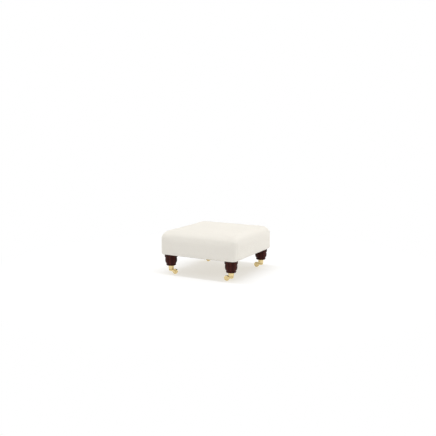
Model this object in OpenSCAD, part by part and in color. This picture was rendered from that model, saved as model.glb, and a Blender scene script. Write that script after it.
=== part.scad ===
// Square upholstered footstool on four turned legs with brass cup castors.
// Millimetres, +Z up, origin on the floor under the middle of the stool.
// The front is towards -Y. Left and right are as seen from the front.

/* [Stool] */
// Width across the fabric, left to right
stool_w = 600; // [480:10:760]
// Depth across the fabric, front to back
stool_d = 600; // [480:10:760]
// Distance from each fabric side to the leg axis
leg_inset = 59; // [54:1:66]

/* [Cover and padding] */
// Thickness of the cover fabric
cover_t = 1.5; // [1:0.1:2.5]
// Radius of the upright corners, at the sides
corner_r = 26; // [22:1:34]
// Radius of the padded top edge
edge_r = 40; // [32:1:48]
// Radius of the fabric's turn under the rails
hem_r = 5; // [4:1:8]
// Rise of the crown over the middle of the top
crown = 8; // [2:1:16]
// How far the top edge draws in halfway along each side
side_draw = 2; // [0:0.5:4]
// Width of the fabric turned under the rails
return_w = 36; // [30:1:42]
// Thickness of the wadding over the foam and down the rails
wadding_t = 6; // [4:0.5:9]
// Foam thickness at its edge
foam_t = 58; // [50:1:80]

/* [Platform] */
// Width of a webbing strap
strap_w = 50; // [38:1:60]
// Thickness of the webbing
strap_t = 1.5; // [1:0.1:2]
// Thickness of the hessian over the webbing
hessian_t = 0.8; // [0.6:0.1:1.2]
// Thickness of the bottoming cloth under the frame
dust_t = 0.8; // [0.5:0.1:1.2]
// Distance from the fabric side to the edge of the bottoming cloth
dust_inset = 13; // [10:1:16]

/* [Frame] */
// Height of the rails
rail_h = 96; // [84:1:120]
// Thickness of the rails
rail_t = 28; // [24:1:32]
// Diameter of the corner dowels
dowel_d = 10; // [8:1:12]
// Length of the corner dowels
dowel_l = 50; // [40:1:56]
// Length of a corner block along each rail
block_l = 96; // [90:1:110]
// Height of the corner blocks
block_h = 42; // [34:1:50]

/* [Legs] */
// Height of the leg from its shoulder to the bottoming cloth
leg_h = 82; // [76:1:110]
// Diameter of the collar at the top
collar_d = 92; // [88:1:100]
// Diameter of the bulb
bulb_d = 86; // [80:1:87]
// Diameter of the bead above the castor cup
bead_d = 71; // [66:1:74]
// Diameter of the shoulder that sits on the cup
shoulder_d = 56; // [50:1:60]
// Diameter of the hanger bolt
bolt_d = 8; // [6:1:10]
// Length of the hanger bolt
bolt_l = 86; // [80:1:92]

/* [Castors] */
// Height from the floor to the rim of the cup
castor_h = 61; // [58:1:70]
// Diameter of the wheel
wheel_d = 38; // [34:1:42]
// Width of the wheel
wheel_w = 13; // [10:1:15]
// Diameter of the axle
axle_d = 5; // [4:0.5:6]
// Outside diameter of the cup at its rim
cup_d = 41; // [38:1:48]
// Height of the cup
cup_h = 28; // [24:1:30]
// Thickness of the cup wall and floor
cup_t = 2.4; // [1.8:0.1:3]
// Diameter of the swivel pin
pin_d = 7; // [6:0.5:8]
// Height of the horn's boss under the cup
horn_h = 12; // [10:1:13]
// Thickness of each arm of the horn
arm_t = 3.5; // [3:0.5:4.5]

/* [Hidden] */

$fn = 64;
cut = 1;            // how far a cutting tool runs past what it cuts
soft_gap = 0.2;     // air between two soft layers, and between cloth and wood
run_gap = 0.06;     // radial clearance of a pin that turns in its bore
seat_gap = 0.02;    // radial clearance of a pin, screw or dowel that is held

FRONT_LEFT = 0;
FRONT_RIGHT = 1;
BACK_RIGHT = 2;
BACK_LEFT = 3;
CORNERS = [FRONT_LEFT, FRONT_RIGHT, BACK_RIGHT, BACK_LEFT];
SIDES = [[-1, -1], [1, -1], [1, 1], [-1, 1]];   // the sign of x and y at each corner

// Colours
CREAM = [0.93, 0.91, 0.87];
WHITE = [0.95, 0.95, 0.95];
FOAM = [0.90, 0.86, 0.70];
JUTE = [0.70, 0.58, 0.40];
CALICO = [0.16, 0.15, 0.15];
BEECH = [0.80, 0.65, 0.46];
MAHOGANY = [0.22, 0.12, 0.11];
BRASS = [0.83, 0.72, 0.48];
STEEL = [0.62, 0.63, 0.65];

// Heights, from the floor up
leg_top_z = castor_h + leg_h;
cover_z = leg_top_z + dust_t + soft_gap;
rail_z = cover_z + cover_t + soft_gap;
rail_top_z = rail_z + rail_h;
weave = strap_t / 2 + soft_gap / 2;             // how far a strap rises and dips at a crossing
hessian_z = rail_top_z + weave + strap_t + soft_gap;
foam_z = hessian_z + hessian_t + soft_gap;
edge_z = foam_z + foam_t + soft_gap + wadding_t + soft_gap + cover_t;   // cover at the top edge

// Inset of each layer from the outside of the cover
wadding_in = cover_t + soft_gap;
foam_in = wadding_in + wadding_t + soft_gap;
frame_in = foam_in;
rail_in = frame_in + rail_t;

// Half sizes
half_w = stool_w / 2;
half_d = stool_d / 2;
frame_x = half_w - frame_in;
frame_y = half_d - frame_in;
inner_x = half_w - rail_in;
inner_y = half_d - rail_in;
corner_ease = 4;            // how much the frame's corners are rounded less than the cover's
frame_r = corner_r - corner_ease;
leg_x = half_w - leg_inset;
leg_y = half_d - leg_inset;

// Soft layers

arc_n = 3;          // steps round an upright corner
side_n = 5;         // points along a side, between two corners
hem_n = 3;          // steps round the hem
edge_n = 6;         // steps round the top edge
dome_n = 4;         // rings on the crowned top
edge_corner_r = 62; // radius that the upright corners open to at the top
return_r = 13;      // corner radius of the raw edge under the rails

// A closed ring of points: half sizes hx and hy, corner radius r, height z, and
// the distance that the middle of each side draws in
function ring(hx, hy, r, z, draw = 0) = [
    for (q = [0:3])
        let (
            s = SIDES[(q + 2) % 4],
            t = SIDES[(q + 3) % 4],
            here = [s[0] * (hx - r), s[1] * (hy - r)],
            next = [t[0] * (hx - r), t[1] * (hy - r)],
            from = here + r * [cos(90 * q + 90), sin(90 * q + 90)],
            to = next + r * [cos(90 * q + 90), sin(90 * q + 90)]
        )
        each concat(
            [for (i = [0:arc_n])
                let (a = 90 * q + 90 * i / arc_n)
                [here[0] + r * cos(a), here[1] + r * sin(a), z]],
            [for (j = [1:side_n])
                let (
                    u = j / (side_n + 1),
                    p = from + (to - from) * u,
                    d = draw * sin(180 * u)
                )
                [p[0] - d * cos(90 * q + 90), p[1] - d * sin(90 * q + 90), z]]
        )
];
ring_n = 4 * (arc_n + 1 + side_n);

// The side and the top of a layer that lies t inside the cover, as rings from
// height z up to the last ring before the middle
function layer_rings(t, z) =
    let (
        hx = half_w - t,
        hy = half_d - t,
        r = edge_r - t,
        top = edge_z - t,
        flat_r = edge_corner_r - edge_r,
        flat = ring(hx - r, hy - r, flat_r, top, side_draw)
    )
    concat(
        [ring(hx, hy, corner_r - t, z)],
        [for (i = [0:edge_n])
            let (
                a = 90 * i / edge_n,
                in = r * (1 - cos(a)),
                plan_r = corner_r + (edge_corner_r - corner_r) * sin(a)
            )
            i < edge_n
                ? ring(hx - in, hy - in, plan_r - t - in, top - r * (1 - sin(a)), side_draw * sin(a))
                : flat],
        [for (k = [1:dome_n])
            let (share = 1 - k / (dome_n + 1))
            [for (p = flat)
                let (x = p[0] * share, y = p[1] * share)
                [x, y, top + crown * cos(90 * x / (hx - r)) * cos(90 * y / (hy - r))]]]
    );
function layer_top(t) = [0, 0, edge_z - t + crown];

// Closes a list of rings with a point before the first and a point after the last.
// Each four-cornered face is split from its lower ring to the next point of its upper
// ring, going up or down, so that two nested layers keep parallel faces
module ring_solid(first, rings, last) {
    points = concat([first], [for (r = rings) each r], [last]);
    count = len(rings);
    end = 1 + count * ring_n;
    polyhedron(points, concat(
        [for (i = [0:ring_n - 1]) [0, 1 + i, 1 + (i + 1) % ring_n]],
        [for (k = [0:count - 2], i = [0:ring_n - 1])
            let (
                a = 1 + k * ring_n,
                b = a + ring_n,
                j = (i + 1) % ring_n,
                rises = rings[k + 1][0][2] >= rings[k][0][2]
            )
            each rises
                ? [[a + i, b + i, b + j], [a + i, b + j, a + j]]
                : [[a + i, b + i, a + j], [a + j, b + i, b + j]]],
        [for (i = [0:ring_n - 1]) [end, end - ring_n + (i + 1) % ring_n, end - ring_n + i]]
    ), convexity = 6);
}

function reversed(list) = [for (i = [len(list) - 1:-1:0]) list[i]];

// The turn of the cover under the rails, from its raw edge out to the side
function hem_rings(t) = concat(
    [ring(half_w - return_w, half_d - return_w, return_r, cover_z + t)],
    [for (i = [0:hem_n])
        let (
            a = 90 * i / hem_n,
            r = hem_r - t,
            in = t + r * (1 - sin(a))
        )
        ring(half_w - in, half_d - in, corner_r - in, cover_z + t + r * (1 - cos(a)))]
);

module cover() {
    color(CREAM)
    ring_solid(
        layer_top(cover_t),
        concat(
            reversed(layer_rings(cover_t, rail_z + rail_h / 2)),
            reversed(hem_rings(cover_t)),
            hem_rings(0),
            layer_rings(0, rail_z + rail_h / 2)
        ),
        layer_top(0)
    );
}

module wadding() {
    low_z = rail_z + hem_r;
    color(WHITE)
    ring_solid(
        layer_top(wadding_in + wadding_t),
        concat(
            reversed(layer_rings(wadding_in + wadding_t, low_z)),
            layer_rings(wadding_in, low_z)
        ),
        layer_top(wadding_in)
    );
}

module foam() {
    color(FOAM)
    ring_solid([0, 0, foam_z], layer_rings(foam_in, foam_z), layer_top(foam_in));
}

// Platform

strap_n = 5;            // straps each way
strap_margin = 6;       // bare rail beyond the end of a strap
strap_end = rail_t - strap_margin;
strap_lift = 0.9;       // share of the gap between two straps in which a strap climbs
hessian_margin = 3;     // bare rail round the hessian
staple_w = 10;
staple_t = 0.6;
staple_l = 8;
cover_staple_pitch = 32;
dust_staple_pitch = 42;
bolt_clearance = 1;     // how much wider the bottoming cloth's holes are than the bolts

// The middle of strap i, counted across an opening of half size h
function strap_at(i, h) = (2 * (i + 1) / (strap_n + 1) - 1) * h;

// The side view of one strap: flat on both rails, then over and under the others
module strap_side(h, first) {
    step = 2 * h / (strap_n + 1);
    ramp = (step - strap_w) / 2;
    path = concat(
        [[-h - strap_end, 0], [-h, 0]],
        [for (j = [0:strap_n - 1])
            let (
                m = strap_at(j, h),
                z = ((j + first) % 2 == 0 ? 1 : -1) * weave
            )
            each [[m - step / 2 + ramp * strap_lift, z], [m + step / 2 - ramp * strap_lift, z]]],
        [[h, 0], [h + strap_end, 0]]
    );
    polygon(concat(path, [for (p = reversed(path)) p + [0, strap_t]]));
}

// The strap's side view stands in XZ, and its width runs along Y
module strap(h, first) {
    translate([0, strap_w / 2, rail_top_z]) rotate([90, 0, 0])
        linear_extrude(strap_w) strap_side(h, first);
}

module webbing_crosswise() {
    color(JUTE)
    for (i = [0:strap_n - 1])
        translate([0, strap_at(i, inner_y), 0]) strap(inner_x, i);
}

module webbing_lengthwise() {
    color(JUTE)
    for (i = [0:strap_n - 1])
        translate([strap_at(i, inner_x), 0, 0]) rotate([0, 0, 90]) strap(inner_y, i + 1);
}

// A staple with its crown along X. Its crown lies above z = 0 and its legs reach down
module staple() {
    translate([-staple_w / 2, -staple_t / 2, 0]) cube([staple_w, staple_t, staple_t]);
    for (s = [-1, 1])
        translate([s * (staple_w - staple_t) / 2 - staple_t / 2, -staple_t / 2, -staple_l])
            cube([staple_t, staple_t, staple_l + staple_t]);
}

// Three staples over each end of the straps
module webbing_staples() {
    color(STEEL)
    for (i = [0:strap_n - 1], s = [-1, 1], k = [-1, 0, 1]) {
        across = k * strap_w / 3;
        out = strap_end / 2;
        translate([s * (inner_x + out), strap_at(i, inner_y) + across, rail_top_z + strap_t])
            rotate([0, 0, 90]) staple();
        translate([strap_at(i, inner_x) + across, s * (inner_y + out), rail_top_z + strap_t])
            staple();
    }
}

module sheet(hx, hy, r, t) {
    linear_extrude(t) rounded_rectangle(hx, hy, r);
}

module rounded_rectangle(hx, hy, r) {
    square([2 * (hx - r), 2 * hy], center = true);
    square([2 * hx, 2 * (hy - r)], center = true);
    for (s = SIDES) translate([s[0] * (hx - r), s[1] * (hy - r)]) circle(r);
}

module hessian() {
    color(JUTE)
    translate([0, 0, hessian_z])
        sheet(frame_x - hessian_margin, frame_y - hessian_margin, frame_r, hessian_t);
}

module dust_cover() {
    color(CALICO)
    difference() {
        translate([0, 0, leg_top_z])
            sheet(half_w - dust_inset, half_d - dust_inset, corner_r - dust_inset, dust_t);
        for (c = CORNERS) at_leg(c)
            translate([0, 0, leg_top_z - cut])
                cylinder(d = bolt_d + bolt_clearance, h = dust_t + 2 * cut);
    }
}

// Rows of staples along the four sides, between the legs, with crowns facing down
module underside_staples(inset, z, pitch) {
    clear = leg_inset + collar_d / 2 + staple_w;
    for (turn = [0:3]) {
        along = (turn % 2 == 0 ? half_w : half_d) - clear;
        out = (turn % 2 == 0 ? half_d : half_w) - inset;
        count = floor(2 * along / pitch);
        rotate([0, 0, 90 * turn])
            for (i = [0:count - 1])
                translate([(i - (count - 1) / 2) * pitch, -out, z])
                    rotate([180, 0, 0]) staple();
    }
}

// These hold the cover to the rails, pressed into its turned edge
module cover_staples() {
    color(STEEL)
    underside_staples(rail_in - rail_t * 0.2, cover_z + staple_t, cover_staple_pitch);
}

// These hold the bottoming cloth through the turned edge of the cover
module dust_cover_staples() {
    color(STEEL)
    underside_staples(rail_in - rail_t * 0.5, leg_top_z, dust_staple_pitch);
}

// Frame

module at_leg(c) {
    translate([SIDES[c][0] * leg_x, SIDES[c][1] * leg_y, 0]) children();
}

dowel_heights = [rail_h * 0.3, rail_h * 0.7];
face_wall = 6;              // rail left between a dowel or screw and the outer face
dowel_in = rail_t - face_wall;

module dowels(gap = 0) {
    for (s = SIDES, z = dowel_heights)
        translate([s[0] * (inner_x + rail_t / 2), s[1] * (inner_y + dowel_in), rail_z + z])
            rotate([s[1] * 90, 0, 0]) cylinder(d = dowel_d + 2 * gap, h = dowel_l);
}

module rail_dowels() {
    color(BEECH) dowels();
}

module frame_plan() {
    rounded_rectangle(frame_x, frame_y, frame_r);
}

// The front and back rails run the full width, with the sides between them
module cross_rail(side) {
    color(BEECH)
    difference() {
        translate([0, 0, rail_z]) linear_extrude(rail_h)
            intersection() {
                frame_plan();
                translate([0, side * (inner_y + rail_t / 2)])
                    square([2 * frame_x, rail_t], center = true);
            }
        dowels(seat_gap);
        for (c = CORNERS) block_screws(c, seat_gap);
    }
}

module side_rail(side) {
    color(BEECH)
    difference() {
        translate([side * (inner_x + rail_t / 2), 0, rail_z + rail_h / 2])
            cube([rail_t, 2 * inner_y, rail_h], center = true);
        dowels(seat_gap);
        for (c = CORNERS) block_screws(c, seat_gap);
    }
}

block_tip = 12;         // the flat at each end of a corner block
screw_d = 4.5;
screw_head_d = 9;
screw_head_h = 3;
screw_l = 48;
screw_at = 62;          // from the inner corner of the frame to a block screw
screw_z = rail_z + block_h / 2;
counterbore_l = 34;     // long enough to open on the block's sloping face
counterbore_gap = 0.5;  // round the head of a block screw
tee_flange_d = 22;
tee_flange_t = 1.5;
tee_barrel_d = bolt_d + 3;
tee_barrel_l = 12;

// The two screws of corner block c, which stop short of the rail's outer face.
// With a gap it is the hole, whose counterbore opens on the block's sloping face
module block_screws(c, gap = 0) {
    sx = SIDES[c][0];
    sy = SIDES[c][1];
    seat = rail_t - face_wall - screw_l;    // the head's face, from the rail's inner face
    for (turned = [false, true]) {
        place = turned
            ? [sx * (inner_x - screw_at), sy * (inner_y + seat), screw_z]
            : [sx * (inner_x + seat), sy * (inner_y - screw_at), screw_z];
        tilt = turned ? [-sy * 90, 0, 0] : [0, sx * 90, 0];
        translate(place) rotate(tilt) {
            cylinder(d = screw_d + 2 * gap, h = screw_l);
            if (gap > 0)
                translate([0, 0, -counterbore_l])
                    cylinder(d = screw_head_d + 2 * counterbore_gap, h = counterbore_l + gap);
            else
                translate([0, 0, -screw_head_h]) cylinder(d = screw_head_d, h = screw_head_h);
        }
    }
}

module corner_block(c) {
    sx = SIDES[c][0];
    sy = SIDES[c][1];
    color(BEECH)
    difference() {
        translate([sx * inner_x, sy * inner_y, rail_z]) linear_extrude(block_h)
            polygon([for (p = [
                [0, 0], [block_l, 0], [block_l, block_tip], [block_tip, block_l], [0, block_l]
            ]) [-sx * p[0], -sy * p[1]]]);
        at_leg(c) translate([0, 0, rail_z - cut])
            cylinder(d = tee_barrel_d + 2 * seat_gap, h = block_h + 2 * cut);
        block_screws(c, seat_gap);
    }
}

module corner_block_screws() {
    color(STEEL)
    for (c = CORNERS) block_screws(c);
}

// Flanged nuts on top of the blocks. The bolts stand in them
module tee_nuts() {
    z = rail_z + block_h;
    color(STEEL)
    for (c = CORNERS) at_leg(c)
        difference() {
            union() {
                translate([0, 0, z]) cylinder(d = tee_flange_d, h = tee_flange_t);
                translate([0, 0, z - tee_barrel_l])
                    cylinder(d = tee_barrel_d, h = tee_barrel_l + tee_flange_t);
            }
            translate([0, 0, z - tee_barrel_l - cut])
                cylinder(d = bolt_d + 2 * seat_gap, h = tee_barrel_l + tee_flange_t + 2 * cut);
        }
}

bolt_proud = 2;         // how far a bolt stands out of its nut
bolt_top_z = rail_z + block_h + tee_flange_t + bolt_proud;
bolt_low_z = bolt_top_z - bolt_l;

module hanger_bolts() {
    color(STEEL)
    for (c = CORNERS) at_leg(c)
        translate([0, 0, bolt_low_z]) cylinder(d = bolt_d, h = bolt_l);
}

// Legs, turned about their own axis. Heights here start at the shoulder

function arc(centre, rx, rz, from, to, n) = [
    for (i = [0:n])
        let (a = from + (to - from) * i / n)
        [centre[0] + rx * cos(a), centre[1] + rz * sin(a)]
];

shoulder_r = shoulder_d / 2;
bead_r = bead_d / 2;
bulb_r = bulb_d / 2;
collar_r = collar_d / 2;
bead_h = 14;            // the bead, from the shoulder to its groove
groove_depth = 2;
bulb_z = leg_h * 0.48;  // where the bulb is widest
cove_z = leg_h * 0.66;  // where the cove under the collar is deepest
cove_depth = 2.5;
collar_h = 22;
lip_h = 4;              // the rounded under-edge of the collar

function leg_profile() =
    let (
        groove_r = bead_r - groove_depth,
        cove_r = bulb_r - cove_depth,
        lip_z = leg_h - collar_h
    )
    concat(
        arc([bead_r - bead_h / 2, bead_h / 2], bead_h / 2, bead_h / 2, -60, 45, 6),
        [[groove_r, bead_h + 0.5], [groove_r, bead_h + 2]],
        arc([groove_r, bulb_z], bulb_r - groove_r, bulb_z - bead_h - 2, -80, 0, 10),
        arc([cove_r, bulb_z], cove_depth, cove_z - bulb_z, 12, 90, 5),
        arc([cove_r + lip_z - cove_z, cove_z], lip_z - cove_z, lip_z - cove_z, 180, 110, 5),
        arc([collar_r - lip_h, lip_z + lip_h], lip_h, lip_h, -70, 0, 4),
        arc([collar_r - 2, leg_h - 2], 2, 2, 0, 90, 3)
    );

pin_head_d = 14;
pin_head_h = 2.5;
cup_z = castor_h - cup_h;
cup_floor_z = cup_z + cup_t;
cup_taper = 2.5;        // how much narrower the cup's foot is than its rim, in radius
cup_edge = 2;           // the bevel round the cup's foot
tenon_gap = 0.15;       // round the leg's tenon in the cup
tenon_air = 0.5;        // between the tenon and the swivel pin's head
cup_rim_r = cup_d / 2;
cup_foot_r = cup_rim_r - cup_taper;
tenon_z = cup_floor_z + pin_head_h + tenon_air;
cup_screw_d = 3;
cup_screw_l = 12;
cup_screw_z = castor_h - cup_h * 0.38;
cup_screw_head_d = 6;
cup_screw_head_h = 1.6;

// The radius of the cup's bore and of its outside at height z
function cup_bore_r(z) = cup_rim_r - cup_t - cup_taper * (castor_h - z) / cup_h;
function cup_outer_r(z) = cup_bore_r(z) + cup_t;

module leg(c) {
    color(MAHOGANY)
    difference() {
        at_leg(c) union() {
            translate([0, 0, castor_h]) rotate_extrude()
                polygon(concat([[0, 0], [shoulder_r, 0]], leg_profile(), [[0, leg_h]]));
            translate([0, 0, tenon_z])
                cylinder(
                    r1 = cup_bore_r(tenon_z) - tenon_gap,
                    r2 = cup_bore_r(castor_h) - tenon_gap,
                    h = castor_h - tenon_z
                );
        }
        at_leg(c) translate([0, 0, bolt_low_z])
            cylinder(d = bolt_d + 2 * seat_gap, h = bolt_l);
        cup_screws_at(c, seat_gap);
    }
}

// Castors. Each is drawn about its own leg axis, with its wheel towards +X, and
// the two on the right are turned half round, so that all wheels trail inwards

module at_castor(c) {
    at_leg(c) rotate([0, 0, SIDES[c][0] < 0 ? 0 : 180]) children();
}

washer_t = 0.8;
washer_d = 24;
horn_top_z = cup_z - washer_t - soft_gap;
horn_z = horn_top_z - horn_h;
horn_r = cup_foot_r - 0.5;
horn_foot_r = 11;       // the flat under the boss
horn_round_h = horn_h * 0.7;
wheel_r = wheel_d / 2;
slot_gap = 1.5;         // between the wheel's rim and the horn's boss
cup_gap = 2.7;          // between the wheel's rim and the cup
pin_wall = 4;           // metal left between the pin and the wheel's slot
// Half the wheel's chord at the height of the cup's foot, and from that the
// distance between the swivel axis and the axle
cup_chord = sqrt(max(0, pow(wheel_r, 2) - pow(cup_z - wheel_r, 2)));
trail = max(cup_foot_r + cup_gap + cup_chord, pin_d / 2 + pin_wall + slot_gap + wheel_r);
side_gap = 0.7;         // between the wheel and each arm
arm_in = wheel_w / 2 + side_gap;
arm_out = arm_in + arm_t;
arm_root_r = 6;
arm_eye_r = axle_d / 2 + 4;
axle_head_d = axle_d + 3;
axle_head_h = 1.3;
pin_foot_d = pin_d + 4;
pin_foot_h = 2;
rim_bead_r = 1.2;
rim_bead_in = 0.4;      // how far the bead's middle lies inside the cup's rim
rim_bead_drop = 0.2;    // and how far its top lies below it

module cup(c) {
    color(BRASS)
    difference() {
        at_castor(c) difference() {
            rotate_extrude() union() {
                polygon([
                    [0, cup_z], [cup_foot_r - cup_edge, cup_z],
                    [cup_outer_r(cup_z + cup_edge), cup_z + cup_edge],
                    [cup_rim_r, castor_h], [0, castor_h]
                ]);
                translate([cup_rim_r - rim_bead_in, castor_h - rim_bead_r - rim_bead_drop])
                    circle(rim_bead_r, $fn = 24);
            }
            translate([0, 0, cup_floor_z])
                cylinder(
                    r1 = cup_bore_r(cup_floor_z),
                    r2 = cup_bore_r(castor_h),
                    h = castor_h - cup_floor_z
                );
            translate([0, 0, castor_h]) cylinder(r = cup_rim_r + 2, h = cut);
            translate([0, 0, cup_z - cut])
                cylinder(d = pin_d + 2 * seat_gap, h = cup_t + 2 * cut);
        }
        cup_screws_at(c, seat_gap);
    }
}

// Two screws hold each cup, at the front and at the back of the leg
module cup_screws_at(c, gap = 0) {
    face = cup_outer_r(cup_screw_z + cup_screw_head_d / 2);     // clear of the taper
    at_leg(c)
        for (s = [-1, 1])
            translate([0, s * face, cup_screw_z]) rotate([s * 90, 0, 0]) {
                cylinder(d = cup_screw_d + 2 * gap, h = cup_screw_l);
                if (gap > 0)
                    translate([0, 0, -cut]) cylinder(d = cup_screw_d + 2 * gap, h = 2 * cut);
                else
                    translate([0, 0, -cup_screw_head_h])
                        cylinder(d1 = cup_screw_head_d * 0.6, d2 = cup_screw_head_d, h = cup_screw_head_h);
            }
}

module cup_screws() {
    color(BRASS)
    for (c = CORNERS) cup_screws_at(c);
}

module swivel_pins() {
    color(STEEL)
    for (c = CORNERS) at_castor(c) {
        translate([0, 0, cup_floor_z]) cylinder(d = pin_head_d, h = pin_head_h);
        translate([0, 0, horn_z - pin_foot_h])
            cylinder(d = pin_d, h = cup_floor_z + pin_head_h - horn_z + pin_foot_h);
        translate([0, 0, horn_z - pin_foot_h - soft_gap])
            cylinder(d1 = pin_d, d2 = pin_foot_d, h = pin_foot_h);
    }
}

module swivel_washers() {
    color(STEEL)
    for (c = CORNERS) at_castor(c)
        difference() {
            translate([0, 0, cup_z - washer_t]) cylinder(d = washer_d, h = washer_t);
            translate([0, 0, cup_z - washer_t - cut])
                cylinder(d = pin_d + 2 * run_gap, h = washer_t + 2 * cut);
        }
}

// The outline of an arm from the boss to the axle: two discs and the straight
// edges that touch both, in the plane of X and Z
module arm_outline() {
    root = [arm_root_r, horn_top_z - arm_root_r];
    eye = [trail, wheel_r];
    span = eye - root;
    turn = atan2(span[1], span[0]);
    lean = acos((arm_root_r - arm_eye_r) / norm(span));
    touch = function(centre, r, s) centre + r * [cos(turn + s * lean), sin(turn + s * lean)];
    translate(root) circle(arm_root_r);
    translate(eye) circle(arm_eye_r);
    polygon([
        touch(root, arm_root_r, 1), touch(eye, arm_eye_r, 1),
        touch(eye, arm_eye_r, -1), touch(root, arm_root_r, -1)
    ]);
}

module horn(c) {
    color(BRASS)
    at_castor(c)
    difference() {
        union() {
            translate([0, 0, horn_z]) rotate_extrude()
                polygon(concat(
                    [[0, 0]],
                    arc([horn_foot_r, horn_round_h], horn_r - horn_foot_r, horn_round_h, -90, 0, 8),
                    [[horn_r, horn_h], [0, horn_h]]
                ));
            for (s = [-1, 1])
                translate([0, s * (arm_in + arm_t / 2) + arm_t / 2, 0]) rotate([90, 0, 0])
                    linear_extrude(arm_t) arm_outline();
        }
        translate([0, 0, horn_z - cut])
            cylinder(d = pin_d + 2 * run_gap, h = horn_h + 2 * cut);
        translate([trail, 0, wheel_r]) rotate([90, 0, 0])
            union() {
                cylinder(d = axle_d + 2 * seat_gap, h = 2 * (arm_out + cut), center = true);
                cylinder(r = wheel_r + slot_gap, h = 2 * arm_in, center = true);
            }
    }
}

module axle(c) {
    color(BRASS)
    at_castor(c) translate([trail, 0, wheel_r]) rotate([90, 0, 0]) {
        cylinder(d = axle_d, h = 2 * arm_out, center = true);
        for (s = [0, 1]) mirror([0, 0, s])
            translate([0, 0, arm_out])
                cylinder(d1 = axle_head_d, d2 = axle_head_d * 0.6, h = axle_head_h);
    }
}

wheel_hub_r = 6;
wheel_dish = 1.5;       // depth of the dish between hub and rim
tread_round = 2.5;

module wheel(c) {
    w = wheel_w / 2;
    dish_r = wheel_r - 5;
    half = concat(
        [[axle_d / 2 + run_gap, 0], [axle_d / 2 + run_gap, w], [wheel_hub_r, w],
         [wheel_hub_r + 1, w - wheel_dish], [dish_r - 1, w - wheel_dish], [dish_r, w]],
        reversed(arc([wheel_r - tread_round, w - tread_round], tread_round, tread_round, 0, 90, 4)),
        [[wheel_r, 0]]
    );
    color(BRASS)
    at_castor(c) translate([trail, 0, wheel_r]) rotate([90, 0, 0])
        for (s = [0, 1]) mirror([0, 0, s]) rotate_extrude() polygon(half);
}

cover();
wadding();
foam();
hessian();
webbing_lengthwise();
webbing_crosswise();
webbing_staples();
cross_rail(-1);  // rail_front
cross_rail(1);  // rail_back
side_rail(-1);  // rail_left
side_rail(1);  // rail_right
rail_dowels();
corner_block(FRONT_LEFT);  // corner_block_front_left
corner_block(FRONT_RIGHT);  // corner_block_front_right
corner_block(BACK_RIGHT);  // corner_block_back_right
corner_block(BACK_LEFT);  // corner_block_back_left
corner_block_screws();
tee_nuts();
hanger_bolts();
dust_cover();
cover_staples();
dust_cover_staples();
leg(FRONT_LEFT);  // leg_front_left
leg(FRONT_RIGHT);  // leg_front_right
leg(BACK_RIGHT);  // leg_back_right
leg(BACK_LEFT);  // leg_back_left
cup(FRONT_LEFT);  // cup_front_left
cup(FRONT_RIGHT);  // cup_front_right
cup(BACK_RIGHT);  // cup_back_right
cup(BACK_LEFT);  // cup_back_left
cup_screws();
swivel_pins();
swivel_washers();
horn(FRONT_LEFT);  // horn_front_left
horn(FRONT_RIGHT);  // horn_front_right
horn(BACK_RIGHT);  // horn_back_right
horn(BACK_LEFT);  // horn_back_left
axle(FRONT_LEFT);  // axle_front_left
axle(FRONT_RIGHT);  // axle_front_right
axle(BACK_RIGHT);  // axle_back_right
axle(BACK_LEFT);  // axle_back_left
wheel(FRONT_LEFT);  // wheel_front_left
wheel(FRONT_RIGHT);  // wheel_front_right
wheel(BACK_RIGHT);  // wheel_back_right
wheel(BACK_LEFT);  // wheel_back_left
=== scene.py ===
import math

import bmesh
import bpy
import numpy as np
from mathutils import Matrix, Vector, noise
from mathutils.bvhtree import BVHTree


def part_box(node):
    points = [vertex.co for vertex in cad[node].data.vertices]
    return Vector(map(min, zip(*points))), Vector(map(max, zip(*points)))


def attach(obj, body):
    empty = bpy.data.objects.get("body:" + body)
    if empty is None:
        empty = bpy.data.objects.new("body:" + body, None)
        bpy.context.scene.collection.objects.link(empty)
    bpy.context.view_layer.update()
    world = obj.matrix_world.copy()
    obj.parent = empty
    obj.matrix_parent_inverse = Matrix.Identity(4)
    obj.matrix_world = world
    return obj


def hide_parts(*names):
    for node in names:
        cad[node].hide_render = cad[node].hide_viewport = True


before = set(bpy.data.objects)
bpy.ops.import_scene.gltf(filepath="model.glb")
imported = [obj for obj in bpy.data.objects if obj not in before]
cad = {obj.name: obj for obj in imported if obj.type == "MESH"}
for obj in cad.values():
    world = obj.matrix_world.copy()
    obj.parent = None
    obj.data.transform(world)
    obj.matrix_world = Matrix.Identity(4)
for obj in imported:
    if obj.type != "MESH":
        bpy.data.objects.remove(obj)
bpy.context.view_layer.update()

scene = bpy.context.scene
corners = {     # the sign of x and y at each corner
    "front_left": (-1, -1),
    "front_right": (1, -1),
    "back_right": (1, 1),
    "back_left": (-1, 1),
}
print("frame loaded,", len(cad), "nodes")


def addObject(name, data):
    made = bpy.data.objects.new(name, data)
    scene.collection.objects.link(made)
    return made


# camera, where the photo was taken from

photoView = {
    "place": (2.160, -3.967, 1.059),    # metres
    "turn": 28.47,      # degrees round from the front, to the right
    "dip": 8.47,        # degrees below level
    "lens": 52.16,      # mm
    "sensor": 36,       # mm wide
}


def makeCamera():
    turn, dip = math.radians(photoView["turn"]), math.radians(photoView["dip"])
    aim = Vector((-math.sin(turn) * math.cos(dip), math.cos(turn) * math.cos(dip), -math.sin(dip)))
    data = bpy.data.cameras.new("photoCamera")
    data.sensor_width = photoView["sensor"]
    data.lens = photoView["lens"]
    camera = addObject("photoCamera", data)
    camera.location = photoView["place"]
    camera.rotation_mode = "QUATERNION"
    camera.rotation_quaternion = aim.to_track_quat("-Z", "Y")
    scene.camera = camera


makeCamera()
print("camera set")


# short ways to lay out shader nodes

def newMaterial(name):
    material = bpy.data.materials.new(name)
    material.use_nodes = True
    tree = material.node_tree
    return material, tree, tree.nodes["Principled BSDF"]


def feed(tree, socket, value):
    if isinstance(value, bpy.types.NodeSocket):
        tree.links.new(value, socket)
    else:
        socket.default_value = value


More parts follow.
